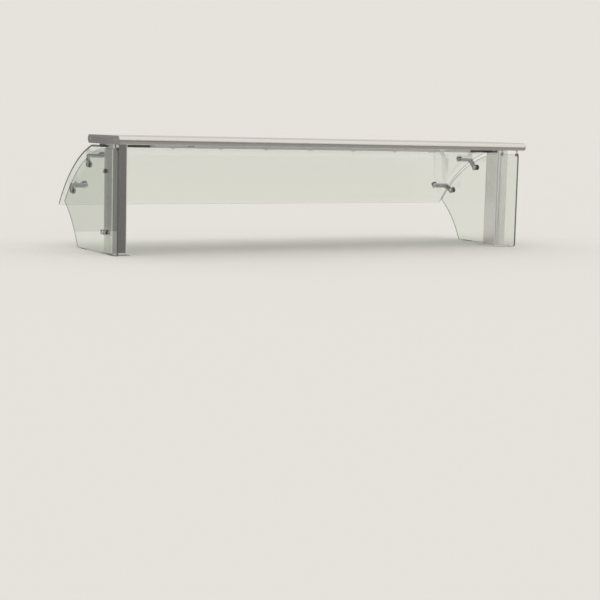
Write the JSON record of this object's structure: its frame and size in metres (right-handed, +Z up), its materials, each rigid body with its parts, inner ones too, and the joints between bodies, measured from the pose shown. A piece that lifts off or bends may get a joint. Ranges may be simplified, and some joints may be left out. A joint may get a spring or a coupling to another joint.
{
  "type": "sneeze guard",
  "caption": "Glazed guard for a serving counter: posts carry a steel canopy with a light bar, a curved customer glass and flat side glasses tied by corner clamps.",
  "frame": {"origin": "bottom centre of the guard's bounding box, on the worktop that its posts stand on", "axes": "+X along the counter, towards the right of a server standing behind it; +Y from the server's side to the customer's side; +Z up"},
  "size_m": [2, 0.684, 0.48],
  "materials": {
    "brushed_stainless": "long-grain brushed stainless steel",
    "canopy_stainless": "fine brushed stainless sheet, grain along the canopy",
    "end_cap_stainless": "brushed stainless plate, darker",
    "inner_steel": "plain mill-finish steel",
    "clear_glass": "toughened clear glass, polished edges",
    "clamp_metal": "polished dark chrome",
    "bright_fasteners": "polished stainless screws",
    "black_rubber": "matt black EPDM",
    "white_nylon": "natural nylon",
    "opal_diffuser": "satin opal acrylic",
    "light_aluminium": "satin anodised aluminium",
    "white_plastic": "moulded white plastic",
    "led_phosphor": "yellow phosphor under clear resin"
  },
  "bodies": {
    "root": {"left_post": "brushed_stainless", "right_post": "brushed_stainless", "left_base_flange": "brushed_stainless", "right_base_flange": "brushed_stainless", "post_top_plates": "inner_steel", "canopy_bolts": "bright_fasteners", "canopy_washers": "bright_fasteners", "canopy_shell": "canopy_stainless", "canopy_bottom_panel": "canopy_stainless", "panel_screws": "bright_fasteners", "left_end_cap": "end_cap_stainless", "right_end_cap": "end_cap_stainless", "end_cap_blocks": "inner_steel", "end_cap_screws": "bright_fasteners", "canopy_bearers": "inner_steel", "curved_glass": "clear_glass", "left_side_glass": "clear_glass", "right_side_glass": "clear_glass", "hanger_backing_bar": "inner_steel", "hanger_spacer": "light_aluminium", "hanger_gasket": "black_rubber", "hanger_bushes": "white_nylon", "hanger_screws": "bright_fasteners", "upper_left_clamp": "clamp_metal", "lower_left_clamp": "clamp_metal", "upper_right_clamp": "clamp_metal", "lower_right_clamp": "clamp_metal", "clamp_discs": "clamp_metal", "clamp_gaskets": "black_rubber", "clamp_screws": "bright_fasteners", "post_clip_plates": "clamp_metal", "post_clip_spacers": "black_rubber", "post_clip_screws": "bright_fasteners", "post_rivet_nuts": "inner_steel", "side_glass_top_clips": "clamp_metal", "top_clip_liners": "black_rubber", "top_clip_spacers": "bright_fasteners", "top_clip_screws": "bright_fasteners", "side_glass_blocks": "black_rubber", "light_housing": "light_aluminium", "light_diffuser": "opal_diffuser", "light_end_caps": "white_plastic", "light_clips": "bright_fasteners", "light_clip_screws": "bright_fasteners", "led_board": "white_plastic", "led_chips": "led_phosphor", "led_driver": "white_plastic", "driver_screws": "bright_fasteners", "terminal_block": "white_plastic", "canopy_grommet": "black_rubber", "base_grommet": "black_rubber"}
  },
  "joints": []
}
